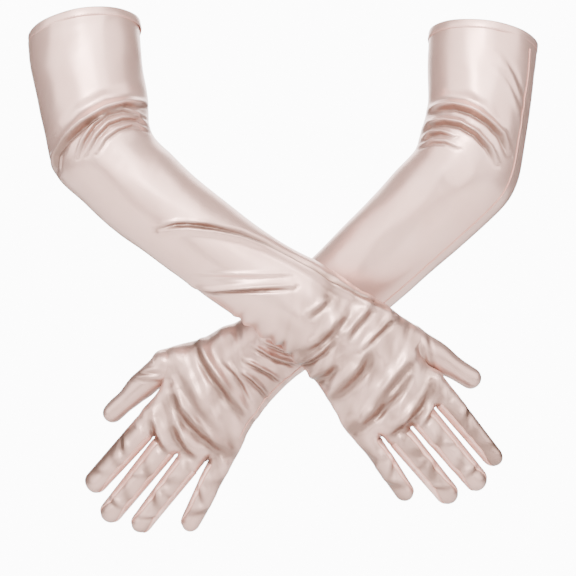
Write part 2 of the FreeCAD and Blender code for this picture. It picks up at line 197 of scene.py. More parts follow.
class Glove:
    """One glove's form: its tube, the hand's own directions and its digits."""

    def __init__(self, side):
        """Runs a smooth line down the middle of the outline and reads widths and depths off it."""
        form = FORMS[side]
        self.side = side
        self.form = form
        self.knuckles = np.array(form["knuckles"], float)
        wrist = np.array(form["wrist"], float)
        run = (self.knuckles - wrist)[[0, 2]]
        self.along = run / np.hypot(*run)
        self.inward = 1 if side == "right" else -1
        self.across = self.inward * np.array([-self.along[1], self.along[0]])
        origin = self.knuckles[[0, 2]]
        outer = [pair[0] for pair in form["sleeve"]]
        inner = [pair[1] for pair in form["sleeve"]]
        for station, toward_thumb, away in form["hand"]:
            outer.append(origin + station * self.along + away * self.across)
            inner.append(origin + station * self.along + toward_thumb * self.across)
        outer = np.array(outer, float)
        inner = np.array(inner, float)
        middle = (outer + inner) / 2
        knots = np.insert(np.cumsum(np.hypot(*np.diff(middle, axis=0).T)), 0, 0)
        self.s = np.arange(0, knots[-1], STATION_STEP)
        outer = running_mean(spline(knots, outer, self.s), OUTLINE_SMOOTHING)
        inner = running_mean(spline(knots, inner, self.s), OUTLINE_SMOOTHING)
        self.middle = (outer + inner) / 2
        half = (inner - outer) / 2
        self.half_width = np.hypot(*half.T)
        self.unit = half / self.half_width[:, None]
        self.rate = np.gradient(self.middle, self.s, axis=0)
        normal = np.stack([-self.unit[:, 1], self.unit[:, 0]], 1)
        self.normal = normal * np.sign(np.sum(normal * self.rate, 1))[:, None]
        self.marks = {}
        for mark in ("cuff", "elbow", "wrist", "knuckles"):
            point = np.array(form[mark], float)[[0, 2]]
            self.marks[mark] = self.s[np.argmin(np.sum((self.middle - point) ** 2, 1))]
        cuff, elbow, wrist, knuckle = self.marks.values()
        heights = [form[mark][1] for mark in self.marks]
        lift = (heights[1] - heights[0]) / (elbow - cuff)
        self.y = np.interp(self.s, list(self.marks.values()), heights)
        self.y[self.s < cuff] += lift * (self.s[self.s < cuff] - cuff)
        self.y = running_mean(self.y, MIDDLE_SMOOTHING)
        places = (cuff, (cuff + elbow) / 2, elbow, elbow + PAST_ELBOW, (elbow + wrist) / 2)
        places += (wrist - BEFORE_WRIST, wrist, wrist + PAST_WRIST, wrist + IN_HAND)
        places += (knuckle, knuckle + PAST_KNUCKLES)
        depths = running_mean(np.interp(self.s, places, HALF_DEPTHS), DEPTH_SMOOTHING)
        self.half_depth = depths * np.sqrt(1 + np.gradient(self.y, self.s) ** 2)
        self.digits = {name: self.digit(name) for name in form["digits"]}

    def digit(self, name):
        """(base, direction and across in the front plane, length, half width) of a finger."""
        joint = next(j for j in frame["joints"] if j["name"] == f"{self.side}_{name}_knuckle")
        base = np.array(joint["pos_m"]) / MM
        along = np.array([joint["axis"][2], -joint["axis"][0]])
        across = self.inward * np.array([-along[1], along[0]])
        length, half_width = self.form["digits"][name]
        return base, along, across, length, half_width

    def hand_point(self, along, across, back=0.0):
        """A point measured along and across the hand from the knuckles, back toward +y."""
        x, z = self.knuckles[[0, 2]] + along * self.along + across * self.across
        return np.array([x, self.knuckles[1] + back, z])

    def place(self, x, z):
        """(station, distance across, distance past the ends) of points in the front plane: each
        point's station steps along the middle line until the line across it meets the point."""
        coarse = self.middle[::12]
        gaps = (x[..., None] - coarse[:, 0]) ** 2 + (z[..., None] - coarse[:, 1]) ** 2
        s = self.s[::12][np.argmin(gaps, axis=-1)]
        for _ in range(4):
            nx, nz = self.read(self.normal[:, 0], s), self.read(self.normal[:, 1], s)
            gap = (x - self.read(self.middle[:, 0], s)) * nx
            gap += (z - self.read(self.middle[:, 1], s)) * nz
            speed = self.read(self.rate[:, 0], s) * nx + self.read(self.rate[:, 1], s) * nz
            s = np.clip(s + gap / np.maximum(speed, 0.3), 0, self.s[-1])
        ux, uz = self.read(self.unit[:, 0], s), self.read(self.unit[:, 1], s)
        across = (x - self.read(self.middle[:, 0], s)) * ux
        across += (z - self.read(self.middle[:, 1], s)) * uz
        past = (x - self.read(self.middle[:, 0], s)) * self.read(self.normal[:, 0], s)
        past += (z - self.read(self.middle[:, 1], s)) * self.read(self.normal[:, 1], s)
        return s, across, past

    def read(self, values, s):
        """A value along the tube at station s."""
        return np.interp(s, self.s, values)

    def tube_point(self, s, angle, inset=0.0):
        """middle + (width cos angle) across - (depth sin angle) y, both halves less inset."""
        width = (self.read(self.half_width, s) - inset) * np.cos(angle)
        depth = (self.read(self.half_depth, s) - inset) * np.sin(angle)
        x = self.read(self.middle[:, 0], s) + width * self.read(self.unit[:, 0], s)
        z = self.read(self.middle[:, 1], s) + width * self.read(self.unit[:, 1], s)
        return np.stack([x, self.read(self.y, s) - depth, z], axis=-1)

    def tube_distance(self, x, y, z):
        """Distance to the elliptical tube, (q - 1) q / slope where q is 1 on the ellipse, cut
        off past the crooked line of the knuckles."""
        s, across, past = self.place(x, z)
        a, b = self.read(self.half_width, s), self.read(self.half_depth, s)
        depth = y - self.read(self.y, s)
        q = np.sqrt((across / a) ** 2 + (depth / b) ** 2)
        slope = np.sqrt((across / a**2) ** 2 + (depth / b**2) ** 2)
        distance = (q - 1) * q / np.maximum(slope, 1e-4)
        distance = np.where(q > TUBE_CORE, distance, (TUBE_CORE - 1) * b)
        start = -s - np.minimum(past, 0) * (s <= 0)
        run = (x - self.knuckles[0]) * self.along[0] + (z - self.knuckles[2]) * self.along[1]
        side = (x - self.knuckles[0]) * self.across[0] + (z - self.knuckles[2]) * self.across[1]
        places = PALM_END_PLACES[::-1]
        end = run - np.interp(side, places, self.form["palm_end"][::-1])
        return np.maximum(-soft_min(-distance, -end, PALM_ROUNDING), start)

    def digit_distance(self, x, y, z, digit):
        """Distance to a tapered capsule, a little flat, that curls toward the palm as the
        square of the share along it."""
        base, along, across, length, half_width = digit
        run = (x - base[0]) * along[0] + (z - base[2]) * along[1]
        side = (x - base[0]) * across[0] + (z - base[2]) * across[1]
        share = np.clip(run / length, 0, 1)
        radius = half_width * (FINGER_WIDEST - FINGER_TAPER * share)
        tip = length - FINGER_TIP * half_width
        rest = run - np.clip(run, -FINGER_ROOT, tip)
        depth = (y - base[1] - FINGER_CURL * share**2) / FINGER_FLATNESS
        return np.sqrt(side**2 + depth**2 + rest**2) - radius

    def bone_distance(self, x, y, z, start, end, wide, narrow):
        """Distance to a round cone from start to end: that to its axis, less the radius there,
        which goes evenly from wide to narrow."""
        run = end - start
        share = ((x - start[0]) * run[0] + (y - start[1]) * run[1] + (z - start[2]) * run[2])
        share = np.clip(share / (run @ run), 0, 1)
        near = [start[i] + share * run[i] for i in range(3)]
        gap = np.sqrt((x - near[0]) ** 2 + (y - near[1]) ** 2 + (z - near[2]) ** 2)
        return gap - wide - (narrow - wide) * share

    def thumb_points(self):
        """The thumb's root, its knuckle and the centre of its tip."""
        return [self.hand_point(*point) for point in self.form["thumb"]]

    def distance(self, x, y, z):
        """Distance to the whole glove but the free part of the thumb."""
        result = self.tube_distance(x, y, z)
        root, knuckle, _ = self.thumb_points()
        sizes = self.form["thumb_sizes"]
        mound = self.bone_distance(x, y, z, root, knuckle, sizes[0], sizes[1])
        result = soft_min(result, mound, MOUND_BLEND)
        fingers = None
        for digit in self.digits.values():
            finger = self.digit_distance(x, y, z, digit)
            fingers = finger if fingers is None else soft_min(fingers, finger, CROTCH_BLEND)
        return soft_min(result, fingers, FINGER_BLEND)

    def thumb_distance(self, x, y, z):
        """Distance to the free thumb: a round cone a hair thicker than the mound it leaves, with
        a sine times a cosine along it for the waist."""
        _, knuckle, tip = self.thumb_points()
        sizes = self.form["thumb_sizes"]
        share = (x - knuckle[0]) * (tip - knuckle)[0] + (z - knuckle[2]) * (tip - knuckle)[2]
        share = np.clip(share / np.sum((tip - knuckle) ** 2), 0, 1)
        waist = THUMB_WAIST * np.sin(np.pi * share) * np.cos(THUMB_WAVES * np.pi * share)
        root_size = sizes[1] + THUMB_PROUD
        return self.bone_distance(x, y, z, knuckle, tip, root_size, sizes[2]) + waist


GLOVES = {side: Glove(side) for side in ("left", "right")}

# --- Folds ----------------------------------------------------------------------------
# The cloth creases inside the elbows, is pulled in long folds along the forearms and in
# waves across the backs of the hands. A fold is a line in the front plane that pushes the
# cloth out along itself, with a trough on its right-hand side. Each layer of folds also
# gives an amount of painted shade for the cloth's colour, mostly in its troughs.

BACK_FOLD_SHARE = 0.75
FOLD_FACING = (-0.1, 0.45)
FOLD_REACH = 6
FOLD_TAPER = 0.6
# Painted shade: full at a drawn fold this high, and kept to at least this share at the edges.
FULL_SHADE_HEIGHT = 2.1
SHADE_AT_EDGE = 0.6
HAND_START = (50, 10)
BROAD_WAVES, BROAD_HEIGHTS = (70, 34, 60), (0.25, 0.55)
RIPPLE_WAVES, RIPPLE_HEIGHTS = (20, 40, 70), (0.04, 0.6)
RIPPLE_SLANT, RIPPLE_STRETCH = 0.55, 0.3
# Painted shade in the broad waves' and ripples' troughs, and evenly over the whole hand.
BROAD_PAINTED_SHADE, RIPPLE_PAINTED_SHADE, HAND_PAINTED_SHADE = 0.30, 0.22, 0.2
FINGER_FOLD_WIDTH = 3.8
FINGER_FOLD_HEIGHT = 1.3
# Painted shade in the fingers' folds, where they turn to their side seams and all over them.
FINGER_FOLD_SHADE = 0.75
FINGER_SIDE_SHADE = 0.3
FINGER_EVEN_SHADE = 0.16
FINGER_SLANT = 0.8
FINGER_WAVE_HEIGHT = 0.25

# Each is a share of the finger's length.
FINGER_FOLDS = {
    "index": (0.30, 0.47, 0.68),
    "middle": (0.25, 0.38, 0.58, 0.76),
    "ring": (0.27, 0.45, 0.56, 0.78),
    "little": (0.30, 0.52, 0.70),
}

# Each is a width, a height and the points (x, z) of its crest.
FOLDS = {
    "left": (
        (2.6, 4.2, ((-54, -66), (-41, -62), (-29, -62), (-14, -67), (0, -76), (12, -88), (19, -103))),
        (2.2, 3.8, ((-59, -84), (-50, -77), (-37, -76), (-24, -79), (-11, -87), (0, -99), (7, -112))),
        (1.8, 2.6, ((-58, -92), (-50, -86), (-41, -85), (-30, -89))),
        (1.8, 1.8, ((-60, -97), (-48, -93), (-37, -94), (-27, -99))),
        (4.5, -2.4, ((-50, -57), (-35, -54), (-20, -56), (-5, -64), (10, -79))),
        (3.0, -1.6, ((-50, -71), (-35, -70), (-18, -74))),
        (3.0, 0.8, ((31, -69), (28, -56), (20, -38), (9, -20))),
        (2.6, 0.6, ((30, -90), (26, -66), (17, -47), (6, -32))),
        (4.6, 3.7, ((-249, -268), (-244, -280), (-237, -292), (-229, -303), (-220, -315), (-205, -332))),
        (4.9, 3.9, ((-271, -309), (-265, -324), (-257, -335), (-245, -347), (-231, -358), (-216, -366))),
        (3.5, 2.8, ((-291, -334), (-287, -345), (-281, -357), (-274, -366))),
        (4.3, 2.8, ((-272, -338), (-266, -350), (-259, -360), (-249, -369))),
        (6.1, 1.5, ((-262, -288), (-256, -305), (-246, -322), (-233, -338), (-220, -349))),
        (1.8, 3.0, ((-210, -283), (-199, -288), (-188, -294), (-178, -302))),
        (1.8, 3.0, ((-202, -271), (-190, -277), (-178, -282), (-164, -287))),
        (1.8, 2.4, ((-214, -292), (-204, -299), (-195, -308), (-188, -318))),
        (1.6, 2.2, ((-195, -266), (-184, -270), (-172, -275), (-158, -280))),
        (2.0, 1.8, ((-228, -284), (-218, -294), (-210, -305), (-204, -318))),
        (2.2, -2.1, ((-289, -280), (-285, -292), (-286, -303))),
    ),
    "right": (
        (2.7, 4.4, ((-376, -126), (-372, -106), (-362, -93), (-347, -80), (-328, -68), (-311, -61),
                    (-290, -60))),
        (1.8, 3.0, ((-351, -108), (-346, -95), (-337, -81), (-325, -71), (-312, -67), (-294, -73))),
        (1.8, 2.7, ((-343, -106), (-335, -91), (-325, -80), (-313, -75), (-300, -74), (-291, -81))),
        (1.7, 2.1, ((-334, -105), (-327, -93), (-317, -85), (-305, -80), (-291, -84))),
        (1.4, 1.3, ((-368, -119), (-366, -107), (-360, -99))),
        (5.0, -2.4, ((-366, -84), (-350, -69), (-328, -57), (-298, -51))),
        (3.0, 5.0, ((-86, -241), (-107, -233), (-128, -222), (-149, -209), (-171, -197), (-192, -186),
                    (-213, -178), (-234, -173), (-257, -170), (-280, -173))),
        (1.8, 1.6, ((-285, -168), (-266, -164), (-241, -165), (-220, -170))),
        (2.1, 3.8, ((-266, -214), (-251, -219), (-236, -221), (-216, -220), (-194, -219), (-168, -218))),
        (2.4, -1.4, ((-168, -211), (-194, -212), (-222, -212), (-252, -211))),
        (3.0, 1.6, ((-158, -243), (-148, -236), (-137, -226))),
        (4.2, 3.0, ((-160, -270), (-148, -264), (-137, -254), (-126, -240))),
        (2.6, 3.4, ((-176, -279), (-166, -284), (-154, -280), (-143, -272), (-133, -262))),
        (4.6, 3.2, ((-156, -296), (-143, -290), (-132, -281))),
        (5.0, 3.6, ((-141, -312), (-126, -300), (-113, -286), (-104, -270))),
        (3.6, 2.4, ((-126, -262), (-115, -248), (-102, -234))),
        (2.2, 1.8, ((-112, -272), (-98, -258), (-84, -243))),
        (2.2, 1.6, ((-100, -262), (-90, -252), (-80, -244))),
        (4.6, 3.6, ((-126, -338), (-112, -333), (-101, -322), (-92, -306), (-79, -290), (-67, -275))),
        (3.4, 3.0, ((-104, -330), (-92, -318), (-80, -306), (-70, -290))),
        (3.8, 3.2, ((-90, -344), (-74, -332), (-62, -318), (-54, -302))),
        (2.6, 1.8, ((-62, -338), (-54, -327), (-47, -316))),
    ),
}

PUCKER_REACH = 7.0
# Painted shade in the puckers' troughs.
PUCKER_SHADE = 0.3

# Each is a line (x, z), the number of waves along it and their height.
PUCKERS = {
    "left": (),
    "right": ((((-221, -242), (-190, -264), (-160, -284)), 5.5, 1.7),),
}


def line_distance(x, z, line):
    """(signed distance, share along) to a line of straight pieces, positive on its left."""
    line = np.array(line, float)
    pieces = np.diff(line, axis=0)
    lengths = np.hypot(*pieces.T)
    starts = np.insert(np.cumsum(lengths), 0, 0)
    best = np.full(x.shape, 1e9)
    signed = np.zeros(x.shape)
    share = np.zeros(x.shape)
    for start, piece, length, before in zip(line, pieces, lengths, starts):
        dx, dz = x - start[0], z - start[1]
        t = np.clip((dx * piece[0] + dz * piece[1]) / length**2, 0, 1)
        gap = np.hypot(dx - t * piece[0], dz - t * piece[1])
        left = np.sign(piece[0] * dz - piece[1] * dx)
        closer = gap < best
        best = np.where(closer, gap, best)
        signed = np.where(closer, gap * left, signed)
        share = np.where(closer, (before + t * length) / starts[-1], share)
    return signed, share


def waves(points, stretch, seed, count=14):
    """A smooth random height from -1 to 1: sines whose waves are stretch millimetres long."""
    random = np.random.default_rng(seed)
    total = np.zeros(len(points))
    for _ in range(count):
        turn = random.normal(0, 1, 3) / np.asarray(stretch)
        total += np.sin(2 * np.pi * (points @ turn) + random.uniform(0, 2 * np.pi))
    return total / np.sqrt(count)


def fold_profile(across):
    """A bell of height 1 at 0, less a narrower one at -1.55, the crease that it leans over."""
    return np.exp(-(across**2)) - 0.85 * np.exp(-(((across + 1.55) / 0.75) ** 2))


def shade_profile(across):
    """Painted shade of a fold: a bell of height 1 at -1.1, on the slope between its crest and its
    crease.
    """
    return np.exp(-(((across + 1.1) / 0.95) ** 2))


def drawn_folds(glove, x, z, facing):
    """Height and painted shade of the drawn folds, each fading toward its two ends."""
    pushed = np.zeros(len(x))
    painted_shade = np.zeros(len(x))
    for width, height, line in FOLDS[glove.side]:
        low = np.min(line, axis=0) - FOLD_REACH * width
        high = np.max(line, axis=0) + FOLD_REACH * width
        near = (x > low[0]) & (x < high[0]) & (z > low[1]) & (z < high[1])
        signed, share = line_distance(x[near], z[near], line)
        strength = height * np.sin(np.pi * np.clip(share, 0.02, 0.98)) ** FOLD_TAPER
        pushed[near] += strength * facing[near] * fold_profile(signed / width)
        # Painted shade on the slope into the fold's crease.
        shaded = strength * np.maximum(facing[near], SHADE_AT_EDGE) / FULL_SHADE_HEIGHT
        painted_shade[near] += shaded * shade_profile(signed / width)
    return pushed, painted_shade


def edge_puckers(glove, x, z):
    """Height and painted shade of the gathered edges: a wave along each line that fades beside it, the
    shade in its troughs.
    """
    pushed = np.zeros(len(x))
    painted_shade = np.zeros(len(x))
    for line, count, height in PUCKERS[glove.side]:
        signed, share = line_distance(x, z, line)
        strength = height * np.exp(-((signed / PUCKER_REACH) ** 2)) * np.sin(np.pi * share) ** 0.5
        wave = np.sin(2 * np.pi * count * share + 1.2 * np.sin(9 * share))
        pushed += strength * wave
        # Painted shade in the troughs of the wave.
        painted_shade += PUCKER_SHADE * strength * np.maximum(-wave, 0)
    return pushed, painted_shade


def hand_ripples(glove, cloth, facing):
    """Height and painted shade of broad waves over the cloth and slanting ripples on the hand, the shade
    in their troughs and evenly over the hand.
    """
    s, across, y = cloth.T
    wrist = glove.marks["wrist"]
    hand = smooth_step(wrist - HAND_START[0], wrist + HAND_START[1], s)
    broad = waves(cloth, BROAD_WAVES, 5)
    slanted = np.stack([s + RIPPLE_SLANT * across, RIPPLE_STRETCH * across, y], axis=-1)
    ripple = waves(slanted, RIPPLE_WAVES, 11)
    pushed = (BROAD_HEIGHTS[0] + BROAD_HEIGHTS[1] * hand) * broad
    pushed += (RIPPLE_HEIGHTS[0] + RIPPLE_HEIGHTS[1] * hand * facing) * ripple
    # Painted shade in the broad waves' and ripples' troughs, and evenly over the hand.
    painted_shade = BROAD_PAINTED_SHADE * hand * facing * np.maximum(0.25 - broad, 0) + HAND_PAINTED_SHADE * hand
    painted_shade += RIPPLE_PAINTED_SHADE * hand * facing * np.maximum(-ripple, 0)
    return pushed, painted_shade


def finger_shade(normals):
    """Painted shade on a finger: an even amount all over, and more where it turns from the front to its
    side seams.
    """
    return FINGER_EVEN_SHADE + FINGER_SIDE_SHADE * (1 - smooth_step(0.25, 0.95, np.abs(normals[:, 1])))


def finger_folds(glove, x, z, cloth, normals):
    """Height and painted shade of the fingers' folds, each slanting across from one side, and
    painted shade over each finger. Sines of the fold's and the finger's numbers vary their
    slant, width and strength."""
    pushed = np.zeros(len(x))
    painted_shade = np.zeros(len(x))
    turned = smooth_step(0.05, 0.85, np.abs(normals[:, 1]))
    for number, (name, digit) in enumerate(glove.digits.items()):
        base, along, across_way, length, half_width = digit
        run = (x - base[0]) * along[0] + (z - base[2]) * along[1]
        side = (x - base[0]) * across_way[0] + (z - base[2]) * across_way[1]
        inside = smooth_step(4, 14, run) * (np.abs(side) < half_width + 2)
        for fold, share in enumerate(FINGER_FOLDS[name]):
            slant = FINGER_SLANT * np.sin(2.4 * fold + 1.7 * number + 0.6)
            width = FINGER_FOLD_WIDTH * (1 + 0.35 * np.sin(3.1 * fold + number))
            strength = (0.7 + 0.3 * np.cos(1.9 * fold + number)) * inside * turned
            strength *= smooth_step(-1.0, 0.4, (-1) ** (fold + number) * side / half_width)
            across_fold = (share * length - run - slant * side - 0.02 * side**2) / width
            pushed += FINGER_FOLD_HEIGHT * strength * fold_profile(across_fold)
            painted_shade += FINGER_FOLD_SHADE * strength * shade_profile(across_fold)
        pushed += FINGER_WAVE_HEIGHT * inside * waves(cloth, (30, 40, 40), 20 + number)
        # Painted shade all over each finger, more toward its side seams.
        painted_shade += inside * finger_shade(normals)
    return pushed, painted_shade


def push(glove, points, normals):
    """How far the folds push the cloth out at these points, in mm, and how much painted shade it gets.
    """
    x, y, z = points.T
    facing = smooth_step(*FOLD_FACING, np.abs(normals[:, 1]))
    facing *= np.where(normals[:, 1] < 0, 1, BACK_FOLD_SHARE)
    s, across, _ = glove.place(x, z)
    cloth = np.stack([s, across, y], axis=-1)
    layers = [
        drawn_folds(glove, x, z, facing),
        edge_puckers(glove, x, z),
        hand_ripples(glove, cloth, facing),
        finger_folds(glove, x, z, cloth, normals),
    ]
    pushed = sum(layer[0] for layer in layers)
    painted_shade = sum(layer[1] for layer in layers)
    return pushed, np.clip(painted_shade, 0, 1)


# --- Skin of satin --------------------------------------------------------------------
# The hand has no single grid of its own, so the cloth's outside is the surface where the
# distance to the form is nothing, found on a lattice, smoothed and pushed by the folds. It
# is then cut where the pieces part: in the rigid forearm and just past each finger's root.

STEP = 1.1
HAND_REACH = (110, 62)
LATTICE_MARGIN, BACK_MARGIN = 6, 8


def lattice_surface(distance, low, high, step):
    """Surface nets: a vertex in each lattice cell that the surface crosses, at the mean of its
    edges' crossings, and a quad round each lattice edge that the surface crosses."""
    axes = [np.arange(low[i], high[i] + step, step) for i in range(3)]
    x, z = axes[0][:, None, None], axes[2][None, None, :]
    values = distance(x, axes[1][None, :, None], z).astype(np.float32)
    inside = values < 0
    corners = [(i, j, k) for i in (0, 1) for j in (0, 1) for k in (0, 1)]
    size = [n - 1 for n in values.shape]
    count = sum(
        inside[i:i + size[0], j:j + size[1], k:k + size[2]].astype(np.int8) for i, j, k in corners
    )
    cells = np.argwhere((count > 0) & (count < 8))
    total = np.zeros((len(cells), 3))
    hits = np.zeros(len(cells))
    for a in corners:
        for axis in range(3):
            if a[axis]:
                continue
            b = tuple(a[i] + (i == axis) for i in range(3))
            at_a = values[tuple((cells + a).T)]
            at_b = values[tuple((cells + b).T)]
            crossed = (at_a < 0) != (at_b < 0)
            share = np.where(crossed, at_a / np.where(crossed, at_a - at_b, 1), 0)
            point = np.array(a, float) + share[:, None] * (np.array(b) - a)
            total += np.where(crossed[:, None], point, 0)
            hits += crossed
    points = np.array(low) + step * (cells + total / hits[:, None])
    number = np.full(size, -1, np.int32)
    number[tuple(cells.T)] = np.arange(len(cells))
    quads = []
    for axis in range(3):
        first, second = (axis + 1) % 3, (axis + 2) % 3
        ahead = np.roll(inside, -1, axis=axis)
        edge = np.argwhere(inside != ahead)
        edge = edge[(edge[:, axis] < size[axis]) & (edge[:, first] > 0) & (edge[:, second] > 0)]
        edge = edge[(edge[:, first] < size[first]) & (edge[:, second] < size[second])]
        steps = np.zeros((4, 3), int)
        steps[1, first] = steps[2, first] = -1
        steps[2, second] = steps[3, second] = -1
        quad = np.stack([number[tuple((edge + move).T)] for move in steps], axis=1)
        leaves = inside[tuple(edge.T)]
        quad[~leaves] = quad[~leaves][:, ::-1]
        quads.append(quad)
    return points, np.concatenate(quads)


def point_normals(points, quads):
    """Unit normals, each the sum of the normals of the quads round the point."""
    face = np.cross(points[quads[:, 2]] - points[quads[:, 0]], points[quads[:, 3]] - points[quads[:, 1]])
    total = np.zeros_like(points)
    for corner in range(4):
        for axis in range(3):
            total[:, axis] += np.bincount(quads[:, corner], face[:, axis], len(points))
    return total / np.maximum(np.linalg.norm(total, axis=1, keepdims=True), 1e-9)


def relax(points, quads, rounds, amount=0.5):
    """Moves each point part of the way to the mean of its neighbours."""
    a = np.concatenate([quads[:, i] for i in range(4)] + [quads[:, i] for i in range(4)])
    b = np.concatenate([quads[:, (i + 1) % 4] for i in range(4)]
                       + [quads[:, (i + 3) % 4] for i in range(4)])
    count = np.bincount(a, minlength=len(points))[:, None]
    for _ in range(rounds):
        mean = np.stack([np.bincount(a, points[b, i], len(points)) for i in range(3)], 1) / count
        points = points + amount * (mean - points)
    return points


def make_mesh(name, points, faces, normals=None, painted_shade=None):
    """A mesh object of millimetre points, smooth, with its rest place kept for the weave and any painted
    shade per point kept for the satin's colour.
    """
    mesh = bpy.data.meshes.new(name)
    mesh.from_pydata((points * MM).tolist(), [], faces.tolist())
    mesh.polygons.foreach_set("use_smooth", np.ones(len(mesh.polygons), bool))
    rest = mesh.attributes.new("rest", "FLOAT_VECTOR", "POINT")
    rest.data.foreach_set("vector", points.astype(np.float32).ravel())
    # Painted shade per point, which darkens the satin's colour in its material.
    if painted_shade is not None:
        shade_paint = mesh.attributes.new("painted_shade", "FLOAT", "POINT")
        shade_paint.data.foreach_set("value", painted_shade.astype(np.float32))
    if normals is not None:
        mesh.normals_split_custom_set_from_vertices(normals.tolist())
    thing = bpy.data.objects.new(name, mesh)
    bpy.context.scene.collection.objects.link(thing)
    return thing


def part_mesh(name, skin, keep):
    """The faces to keep as an object of their own, with the whole skin's normals."""
    points, quads, normals, painted_shade = skin
    used, faces = np.unique(quads[keep], return_inverse=True)
    return make_mesh(name, points[used], faces.reshape(-1, 4), normals[used], painted_shade[used])


def glove_skin(glove):
    """(points, quads, normals, painted shade) of a glove's outside but its thumb, pushed by the folds.
    """
    outline = np.concatenate([glove.middle + glove.unit * glove.half_width[:, None],
                              glove.middle - glove.unit * glove.half_width[:, None]])
    far, wide = HAND_REACH
    ends = np.array([glove.hand_point(far, side)[[0, 2]] for side in (-wide, wide)])
    low = np.minimum(outline.min(0), ends.min(0)) - LATTICE_MARGIN
    high = np.maximum(outline.max(0), ends.max(0)) + LATTICE_MARGIN
    front = np.min(glove.y - glove.half_depth) - LATTICE_MARGIN
    back = np.max(glove.y + glove.half_depth) + BACK_MARGIN
    points, quads = lattice_surface(
        glove.distance, (low[0], front, low[1]), (high[0], back, high[1]), STEP
    )
    points = relax(points, quads, 3)
    normals = point_normals(points, quads)
    pushed, painted_shade = push(glove, points, normals)
    points = relax(points + normals * pushed[:, None], quads, 1, 0.3)
    return points, quads, point_normals(points, quads), painted_shade


# --- Satin ----------------------------------------------------------------------------
# Stretch satin in champagne pink: a smooth, tinted sheen over a fine woven grain, with
# painted shade mixed into its colour in the creases, over the hands and toward the fingers'
# sides. The lining is the cloth's dull side and the thread a shade pinker.

GRAIN_SCALE, GRAIN_SHARE = 0.9, 0.35
PATCH_SCALE = 0.035
GRAIN_STRENGTH, GRAIN_HEIGHT = 0.12, 0.0002
# Colour that the satin is mixed toward where shade is painted.
PAINTED_SHADE_TONE = (0.235, 0.14, 0.11)

def cloth_grain():
    """Group: grain height and tone from the cloth's rest place in millimetres."""
    group = bpy.data.node_groups.new("cloth_grain", "ShaderNodeTree")
    group.interface.new_socket("Height", in_out="OUTPUT", socket_type="NodeSocketFloat")
    group.interface.new_socket("Tone", in_out="OUTPUT", socket_type="NodeSocketFloat")
    nodes, links = group.nodes, group.links
    rest = nodes.new("ShaderNodeAttribute")
    rest.attribute_name = "rest"
    fine = nodes.new("ShaderNodeTexNoise")
    fine.inputs["Scale"].default_value = GRAIN_SCALE
    fine.inputs["Detail"].default_value = 3.0
    links.new(rest.outputs["Vector"], fine.inputs["Vector"])
    broad = nodes.new("ShaderNodeTexNoise")
    broad.inputs["Scale"].default_value = PATCH_SCALE
    broad.inputs["Detail"].default_value = 2.0
    links.new(rest.outputs["Vector"], broad.inputs["Vector"])
    both = nodes.new("ShaderNodeMath")
    both.operation = "MULTIPLY_ADD"
    both.inputs[1].default_value = GRAIN_SHARE
    links.new(fine.outputs["Fac"], both.inputs[0])
    links.new(broad.outputs["Fac"], both.inputs[2])
    out = nodes.new("NodeGroupOutput")
    links.new(fine.outputs["Fac"], out.inputs["Height"])
    links.new(both.outputs[0], out.inputs["Tone"])
    return group


GRAIN = cloth_grain()


def cloth_material(name, dark, light, roughness, metallic, sheen, specular):
    """Principled cloth between two tones, with the grain as a slight bump."""
    material = bpy.data.materials.new(name)
    material.use_nodes = True
    nodes, links = material.node_tree.nodes, material.node_tree.links
    shader = nodes["Principled BSDF"]
    grain = nodes.new("ShaderNodeGroup")
    grain.node_tree = GRAIN
    tones = nodes.new("ShaderNodeMix")
    tones.data_type = "RGBA"
    tones.inputs["A"].default_value = (*dark, 1)
    tones.inputs["B"].default_value = (*light, 1)
    links.new(grain.outputs["Tone"], tones.inputs["Factor"])
    links.new(tones.outputs["Result"], shader.inputs["Base Color"])
    bump = nodes.new("ShaderNodeBump")
    bump.inputs["Strength"].default_value = GRAIN_STRENGTH
    bump.inputs["Distance"].default_value = GRAIN_HEIGHT
    links.new(grain.outputs["Height"], bump.inputs["Height"])
    links.new(bump.outputs["Normal"], shader.inputs["Normal"])
    shader.inputs["Roughness"].default_value = roughness
    shader.inputs["Metallic"].default_value = metallic
    shader.inputs["Sheen Weight"].default_value = sheen
    shader.inputs["Sheen Roughness"].default_value = 0.4
    shader.inputs["Specular IOR Level"].default_value = specular
    return material


def paint_crease_shade(material):
    """Painted shade: mixes the cloth's colour toward the shade tone by each point's painted shade."""
    nodes, links = material.node_tree.nodes, material.node_tree.links
    colour = nodes["Principled BSDF"].inputs["Base Color"]
    shade_paint = nodes.new("ShaderNodeMix")
    shade_paint.data_type = "RGBA"
    shade_paint.inputs["B"].default_value = (*PAINTED_SHADE_TONE, 1)
    painted_shade = nodes.new("ShaderNodeAttribute")
    painted_shade.attribute_name = "painted_shade"
    links.new(painted_shade.outputs["Fac"], shade_paint.inputs["Factor"])
    links.new(colour.links[0].from_socket, shade_paint.inputs["A"])
    links.new(shade_paint.outputs["Result"], colour)


SATIN = cloth_material("satin", (0.645, 0.375, 0.308), (0.75, 0.48, 0.412),
                       roughness=0.33, metallic=0.66, sheen=0.0, specular=0.5)
# Painted shade in the satin's creases, over the hands and along the fingers.
paint_crease_shade(SATIN)
LINING = cloth_material("lining", (0.52, 0.36, 0.31), (0.60, 0.43, 0.38),
                        roughness=0.75, metallic=0.0, sheen=0.2, specular=0.3)
THREAD = cloth_material("thread", (0.52, 0.25, 0.19), (0.58, 0.30, 0.24),
                        roughness=0.6, metallic=0.0, sheen=0.1, specular=0.3)

# --- Cloth pieces: sleeve, hand, fingers and thumb ------------------------------------
# One skin per glove, parted in the rigid forearm and past the finger roots. The thumb is its
# own rounded piece, set into the hand's mound.

